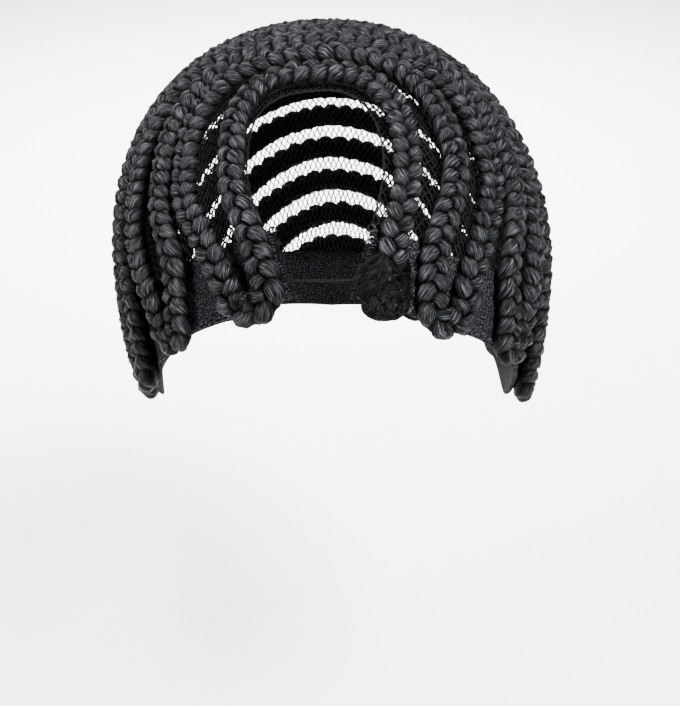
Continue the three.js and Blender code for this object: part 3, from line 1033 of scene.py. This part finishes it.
def overlock(distance, inwards):
    turns = BAND_WIDTH / STITCH_PITCH
    t = np.linspace(0, 1, round(turns * STITCH_POINTS))
    angle = 2 * np.pi * turns * t
    heights = STITCH_INSET + (BAND_WIDTH - 2 * STITCH_INSET) * t
    reach = distance + inwards * (STITCH_MIDDLE + STITCH_REACH * np.cos(angle))
    edge = np.clip(reach, 0, BAND_LENGTH)
    uneven = 1 + STITCH_UNEVEN * np.sin(angle * STITCH_BEAT)
    lifts = WALL / 2 + STITCH_REACH * np.sin(angle) * uneven
    centres = band_points(edge, heights[:, None], lifts.clip(STITCH_LOWEST)[:, None])[:, 0]
    ahead = edge.clip(EDGE_STEP)
    tangent = unit(points_at(hem_curve, ahead) - points_at(hem_curve, ahead - EDGE_STEP))
    return round_tube(centres + tangent * (reach - edge)[:, None], STITCH_RADIUS, STITCH_SIDES)


def tab_frame(distance, inwards, heights):
    """Points up the cut front end of the band, with the ways out of it and up it."""
    lifts = np.full((len(heights), 1), WALL / 2)

    def places(shift, drop):
        return band_points(np.full(len(heights), distance + shift), heights[:, None] - drop, lifts)[:, 0]

    edge = places(0, 0)
    return edge, unit(edge - places(TAB_STEP * inwards, 0)), unit(edge - places(0, TAB_STEP))


def overlock_fuzz(distance, inwards):
    """Short frayed fibres along the cut front end of the band."""
    edge, out, up = tab_frame(distance, inwards, rng.uniform(FUZZ_LOWEST, BAND_WIDTH, FUZZ))
    normal = dome_normal(edge)

    def scattered(spread_up, spread_out):
        return up * rng.normal(0, spread_up, (FUZZ, 1)) + normal * rng.normal(0, spread_out, (FUZZ, 1))

    t = np.linspace(0, 1, FUZZ_POINTS)[:, None]
    reach = rng.uniform(*FUZZ_REACH, (FUZZ, 1, 1))
    heading = unit(out + scattered(FUZZ_SPREAD_UP, FUZZ_SPREAD_OUT))[:, None]
    bend = scattered(FUZZ_BEND, FUZZ_BEND)[:, None]
    centres = edge[:, None] + reach * (heading * t + bend * t * (t - FUZZ_STIFFNESS))
    forward = unit(np.gradient(centres, axis=1))
    side = unit(np.cross(forward, normal[:, None]))
    radius = np.full((FUZZ, FUZZ_POINTS), FUZZ_RADIUS)
    rings = section_rings(centres, side, np.cross(side, forward), radius, radius, FUZZ_SIDES)
    return tubes(rings, reach[..., 0] * t.T)


def thread_curl(distance, inwards):
    """The loose end of the overlocking, curled at the upper corner of the band's end."""
    edge, out, up = (v[0] for v in tab_frame(distance, inwards, np.array([BAND_WIDTH])))
    t = np.linspace(0, 1, CURL_POINTS)[:, None]
    angle = 2 * np.pi * CURL_TURNS * t
    ring = CURL_RADIUS * (1 - CURL_TIGHTENING * t) * (up * np.sin(angle) - out * np.cos(angle))
    centres = edge + out * CURL_RADIUS + ring + dome_normal(edge) * t
    return round_tube(centres, STITCH_RADIUS, STITCH_SIDES)


def make_band():
    band = make_mesh("knitted_band", band_cloth(), KNIT)
    finish_piece(band, "knit", "hairline_band")
    ends = [(0.0, 1), (BAND_LENGTH, -1)]
    parts = [make(*end) for end in ends for make in (overlock, overlock_fuzz, thread_curl)]
    edging = make_mesh("band_overlock", joined(parts), KNIT)
    finish_piece(edging, "knit")


# Net: diamond meshes of thread, laid out from the crown and cut along the opening and the band

NET_POLE = unit(np.array([0.0, 0.12, 1.0]))
NET_ACROSS = np.array([1.0, 0.0, 0.0])
NET_ALONG = np.cross(NET_POLE, NET_ACROSS)
NET_RADIUS = 85.0
NET_UNDER_BAND = 1.2
NET_LIFT = 0.7
NET_THREAD = 0.29
NET_THICKNESS = (0.8, 1.2)
NET_SIDES = 3
NET_MAP_SHIFT = 30
MESH_WIDTH = 2.6
MESH_STEP = 1.65
MESH_REACH = 165.0
MESH_SLACK = 0.16
OUTLINE_POINTS = 400
OUTLINE_STRIDE = 4
CUT_HALVINGS = 8
CUT_OVERSHOOT = (0.1, 0.9)

# The cord round the opening, with small waves in its lift and its radius, in radians a step.
RIM_STEP = 0.8
RIM_SIDES = 7
RIM_RADIUS = 0.3
RIM_SWELL = 0.06
RIM_SWELL_TURN = 2.3
RIM_WAVE = 0.12
RIM_WAVE_TURN = 1.9


def net_point(p, q):
    """A place on the equal-area layout of the net, put on the dome."""
    reach = np.hypot(p, q) + TINY
    angle = 2 * np.arcsin(reach / (2 * NET_RADIUS))[..., None]
    heading = (NET_ACROSS * p[..., None] + NET_ALONG * q[..., None]) / reach[..., None]
    return dome_point(NET_POLE * np.cos(angle) + heading * np.sin(angle), NET_LIFT)


def rim_line():
    rim = horseshoe(RIM, 0)
    left, right = (cut_above(rim[side], BAND_WIDTH + RIM_END) for side in ("left", "right"))
    return np.concatenate([left[::-1], right[1:]])


def net_outline():
    """The edge of the net on the map: round the opening and along the top of the band."""
    heights = np.full((OUTLINE_POINTS, 1), BAND_WIDTH - NET_UNDER_BAND)
    top = band_points(np.linspace(BAND_LENGTH, 0, OUTLINE_POINTS), heights, np.zeros_like(heights))[:, 0]
    return to_map(np.concatenate([rim_line()[::OUTLINE_STRIDE], top]))


def inside(outline, places):
    """Which places lie inside a closed outline, by counting the sides crossed on the way out."""
    x, y = places[:, 0:1], places[:, 1:2]
    x0, y0 = outline[:, 0], outline[:, 1]
    x1, y1 = np.roll(x0, -1), np.roll(y0, -1)
    spans = (y0 > y) != (y1 > y)
    crossing = x0 + (y - y0) * (x1 - x0) / np.where(y1 == y0, TINY, y1 - y0)
    return ((x < crossing) & spans).sum(axis=1) % 2 == 1


def net_edges():
    """Both ends of each side of the meshes on the layout."""
    half_rows = int(MESH_REACH / MESH_STEP)
    half_columns = int(MESH_REACH / MESH_WIDTH)
    columns = np.arange(-half_columns, half_columns + 1)
    rows = np.arange(-half_rows, half_rows + 1)
    i, j = np.meshgrid(columns, rows, indexing="ij")
    p = (i + 0.5 * (j % 2)) * MESH_WIDTH + rng.normal(0, MESH_SLACK, i.shape)
    q = j * MESH_STEP + rng.normal(0, MESH_SLACK, i.shape)
    places = np.stack([p, q], axis=-1)
    odd = (rows[:-1] % 2).astype(bool)[None, :, None]
    left_to = np.where(odd, places[1:-1, 1:], places[:-2, 1:])
    right_to = np.where(odd, places[2:, 1:], places[1:-1, 1:])
    start = places[1:-1, :-1].reshape(-1, 2)
    starts = np.concatenate([start, start])
    ends = np.concatenate([left_to.reshape(-1, 2), right_to.reshape(-1, 2)])
    near = (np.hypot(*starts.T) < MESH_REACH) & (np.hypot(*ends.T) < MESH_REACH)
    return starts[near], ends[near]


def cut_edges(starts, ends):
    """The sides of the meshes that lie inside the net, cut a little past its edge."""
    outline = net_outline()

    def kept(places):
        return inside(outline, to_map(net_point(places[:, 0], places[:, 1])))

    start_in, end_in = kept(starts), kept(ends)
    swap = (~start_in & end_in)[:, None]
    starts, ends = np.where(swap, ends, starts), np.where(swap, starts, ends)
    whole = start_in & end_in
    partly = start_in ^ end_in
    low, high = starts[partly], ends[partly]
    for _ in range(CUT_HALVINGS):
        middle = (low + high) / 2
        still = kept(middle)[:, None]
        low, high = np.where(still, middle, low), np.where(still, high, middle)
    overshoot = rng.uniform(*CUT_OVERSHOOT, (len(low), 1))
    tips = low + unit(ends[partly] - starts[partly]) * overshoot
    return np.concatenate([starts[whole], starts[partly]]), np.concatenate([ends[whole], tips])


def net_threads():
    layout = np.stack(cut_edges(*net_edges()), axis=1)
    centres = net_point(layout[..., 0], layout[..., 1])
    forward = unit(np.gradient(centres, axis=1))
    up = dome_normal(centres)
    side = unit(np.cross(forward, up))
    radius = NET_THREAD * rng.uniform(*NET_THICKNESS, centres.shape[:2])
    rings = section_rings(centres, side, up, radius, radius, NET_SIDES)
    along = np.array([0.0, MESH_STEP]) + rng.uniform(0, NET_MAP_SHIFT, (len(layout), 1))
    return tubes(rings, along)


def rim_cord():
    rim = rim_line()
    rim = evenly(rim, round(lengths(rim)[-1] / RIM_STEP))
    step = np.arange(len(rim))
    lift = NET_LIFT + RIM_WAVE * np.sin(step * RIM_WAVE_TURN)
    radius = RIM_RADIUS + RIM_SWELL * np.sin(step * RIM_SWELL_TURN)
    return round_tube(dome_point(rim, lift), radius, RIM_SIDES)


def make_net():
    piece = make_mesh("fishnet", joined([net_threads(), rim_cord()]), NET)
    finish_piece(piece, "net", "net_cap")


# Thread tied across the opening: two plies, wound round both ends of the band

PLIES = 2
PLY_PITCH = 2.2
PLY_OFFSET = 0.22
PLY_RADIUS = 0.26
PLY_SIDES = 7
TIE_POINTS = 160
TIE_OVERRUN = 0.03
TIE_SAG = 0.35
COIL_POINTS = 60
COIL_TURNS = 3
COIL_RADIUS = 0.95
COIL_START = 0.2
COIL_LENGTH = 1.3


def tie_ends():
    ends = np.array([0.0, BAND_LENGTH])
    return band_points(ends, np.full((2, 1), THREAD_ABOVE_HEM), np.full((2, 1), WALL / 2))[:, 0]


def make_tie():
    start, end = tie_ends()
    span = np.linalg.norm(end - start)
    heading = (end - start) / span
    up = flattened(dome_normal(start) + dome_normal(end), heading)
    side = np.cross(heading, up)

    def wound(line, radius, turns):
        angle = 2 * np.pi * turns[:, None]
        helix = line + radius * (up * np.cos(angle) + side * np.sin(angle))
        return round_tube(helix, PLY_RADIUS, PLY_SIDES)

    t = np.linspace(-TIE_OVERRUN, 1 + TIE_OVERRUN, TIE_POINTS)
    sag = TIE_SAG * np.sin(np.pi * t.clip(0, 1))
    line = start + (end - start) * t[:, None] - side * sag[:, None] * np.sign(side[2])
    parts = [wound(line, PLY_OFFSET, t * span / PLY_PITCH + ply / PLIES) for ply in range(PLIES)]
    t = np.linspace(0, 1, COIL_POINTS)
    for place, away in ((start, -heading), (end, heading)):
        line = place + away * (COIL_START + COIL_LENGTH * t)[:, None]
        parts.append(wound(line, COIL_RADIUS, COIL_TURNS * t))
    piece = make_mesh("tied_thread", joined(parts), COTTON)
    finish_piece(piece, "thread", "tie_thread")


# Camera, light and floor: lights and floor are in metres, power is in watts

WORLD_STRENGTH = 0.28
FLOOR_LEVEL = -0.42
FLOOR_SIZE = 8


def make_camera():
    data = bpy.data.cameras.new("camera")
    data.sensor_fit = "HORIZONTAL"
    data.sensor_width = SENSOR_WIDTH
    data.lens = FOCAL_PX * SENSOR_WIDTH / IMAGE_WIDTH
    camera = bpy.data.objects.new("camera", data)
    scene.collection.objects.link(camera)
    away = Vector((0, -math.cos(CAMERA_ELEVATION), math.sin(CAMERA_ELEVATION)))
    camera.location = (Vector((0, 0, -CROWN)) + away * CAMERA_DISTANCE) * MM
    lower = math.atan((IMAGE_HEIGHT / 2 - DOME_CENTRE_PX[1]) / FOCAL_PX)
    aside = math.atan((IMAGE_WIDTH / 2 - DOME_CENTRE_PX[0]) / FOCAL_PX)
    pitch = CAMERA_ELEVATION + lower
    level = math.cos(pitch)
    forward = Vector((math.sin(aside) * level, math.cos(aside) * level, -math.sin(pitch)))
    camera.rotation_euler = forward.to_track_quat("-Z", "Y").to_euler()
    scene.camera = camera


def make_light(name, place, size, power, target=(0, 0, -CROWN * MM)):
    data = bpy.data.lights.new(name, "AREA")
    data.shape = "DISK"
    data.size = size
    data.energy = power
    light = bpy.data.objects.new(name, data)
    light.location = place
    light.visible_camera = False
    aim = Vector(target) - Vector(place)
    light.rotation_euler = aim.to_track_quat("-Z", "Y").to_euler()
    scene.collection.objects.link(light)


def make_stage():
    world = scene.world or bpy.data.worlds.new("world")
    scene.world = world
    world.use_nodes = True
    background = world.node_tree.nodes["Background"]
    background.inputs["Color"].default_value = grey(1)
    background.inputs["Strength"].default_value = WORLD_STRENGTH
    make_light("key", place=(0.34, -0.72, 0.8), size=0.3, power=100)
    make_light("fill", place=(-0.9, -0.45, 0.4), size=0.6, power=34)
    make_light("top", place=(0.15, 0.3, 0.95), size=0.6, power=4)
    make_light("back", place=(-0.5, 0.9, 0.5), size=0.6, power=12)
    below = (0.0, 1.1, FLOOR_LEVEL)
    make_light("floor_wash", place=(0.0, 1.1, 0.05), size=1.2, power=45, target=below)
    bpy.ops.mesh.primitive_plane_add(size=FLOOR_SIZE, location=(0, 0, FLOOR_LEVEL))
    floor = bpy.context.object
    floor.name = "floor"
    floor.data.materials.append(floor_material())


make_camera()
make_stage()
make_plait()
make_tail()
make_band()
make_net()
make_tie()
